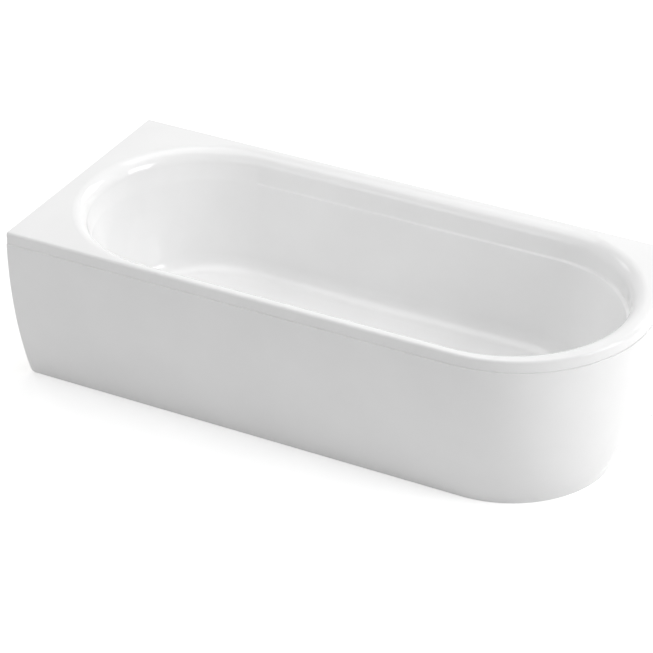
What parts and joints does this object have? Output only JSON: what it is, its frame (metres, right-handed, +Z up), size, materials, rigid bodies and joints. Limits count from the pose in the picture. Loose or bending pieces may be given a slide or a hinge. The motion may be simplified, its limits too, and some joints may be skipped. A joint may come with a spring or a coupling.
{
  "type": "corner bathtub",
  "caption": "White acrylic corner bathtub with one rounded end, a curved apron, levelling feet and a knob-worked pop-up waste.",
  "frame": {"origin": "on the floor, under the middle of the rectangle that the bath fills", "axes": "+X along the bath from the left wall to the rounded right end, +Y from the apron to the back wall, +Z up"},
  "size_m": [1.7, 0.75, 0.485],
  "materials": {
    "acrylic": "glossy white sanitary acrylic",
    "apron_acrylic": "glossy white sanitary acrylic",
    "chipboard": "raw chipboard",
    "softwood": "sawn softwood",
    "zinc_steel": "zinc-plated steel",
    "rail_paint": "black powder coat",
    "foot_plastic": "black moulded plastic",
    "chrome": "polished chrome",
    "pipe_plastic": "white waste pipe plastic",
    "fitting_plastic": "dark grey moulded plastic",
    "hose_plastic": "flexible grey hose plastic",
    "cable_jacket": "black cable jacket",
    "seal_rubber": "black rubber"
  },
  "bodies": {
    "bath": {"tub_shell": "acrylic", "apron_panel": "apron_acrylic", "base_board": "chipboard", "rim_batten_front": "softwood", "rim_batten_right": "softwood", "rim_batten_back": "softwood", "rim_batten_left": "softwood", "foot_batten_front": "softwood", "foot_batten_right": "softwood", "apron_clips": "zinc_steel", "clip_screws": "zinc_steel", "floor_brackets": "zinc_steel", "bracket_screws": "zinc_steel", "wall_hook_back_left": "zinc_steel", "wall_hook_back_right": "zinc_steel", "wall_hook_left": "zinc_steel", "cross_rail_left": "rail_paint", "cross_rail_right": "rail_paint", "rail_screws": "zinc_steel", "weld_nuts": "zinc_steel", "lock_nuts": "zinc_steel", "waste_flange": "chrome", "waste_gasket": "seal_rubber", "waste_body": "fitting_plastic", "rocker_pin": "zinc_steel", "trap_bend": "pipe_plastic", "trap_cleaning_cap": "pipe_plastic", "trap_inlet_nut": "pipe_plastic", "trap_outlet_nut": "pipe_plastic", "outlet_pipe": "pipe_plastic", "overflow_plate": "chrome", "overflow_gasket": "seal_rubber", "overflow_housing": "fitting_plastic", "overflow_screws": "zinc_steel", "overflow_hose": "hose_plastic", "popup_cable": "cable_jacket", "hose_clips": "zinc_steel"},
    "knob": {"overflow_knob": "chrome", "knob_crank": "fitting_plastic"},
    "plug": {"pop_up_plug": "chrome", "plug_seal": "seal_rubber"},
    "rocker": {"lift_rocker": "fitting_plastic"},
    "foot_front_left": {"foot_stud_front_left": "zinc_steel", "foot_pad_front_left": "foot_plastic"},
    "foot_back_left": {"foot_stud_back_left": "zinc_steel", "foot_pad_back_left": "foot_plastic"},
    "foot_front_right": {"foot_stud_front_right": "zinc_steel", "foot_pad_front_right": "foot_plastic"},
    "foot_back_right": {"foot_stud_back_right": "zinc_steel", "foot_pad_back_right": "foot_plastic"}
  },
  "joints": [
    {"name": "knob_turn", "type": "hinge", "parent": "bath", "child": "knob", "pos_m": [0, -0.30603, 0.358], "axis": [0, 0.9916, 0.1291], "range_deg": [0, 110]},
    {"name": "plug_lift", "type": "slide", "parent": "bath", "child": "plug", "axis": [0, 0, 1], "range_m": [0, 0.00932]},
    {"name": "rocker_tilt", "type": "hinge", "parent": "bath", "child": "rocker", "pos_m": [0, 0.0195, 0.10566], "axis": [-1, 0, 0], "range_deg": [0, 30]},
    {"name": "foot_front_left_height", "type": "slide", "parent": "bath", "child": "foot_front_left", "axis": [0, 0, -1], "range_m": [-0.008, 0.018]},
    {"name": "foot_back_left_height", "type": "slide", "parent": "bath", "child": "foot_back_left", "axis": [0, 0, -1], "range_m": [-0.008, 0.018]},
    {"name": "foot_front_right_height", "type": "slide", "parent": "bath", "child": "foot_front_right", "axis": [0, 0, -1], "range_m": [-0.008, 0.018]},
    {"name": "foot_back_right_height", "type": "slide", "parent": "bath", "child": "foot_back_right", "axis": [0, 0, -1], "range_m": [-0.008, 0.018]}
  ],
  "couplings": [
    {"joint": "plug_lift", "follows": "knob_turn", "m_per_rad": 0.0048532},
    {"joint": "rocker_tilt", "follows": "knob_turn", "ratio": 0.27273}
  ]
}
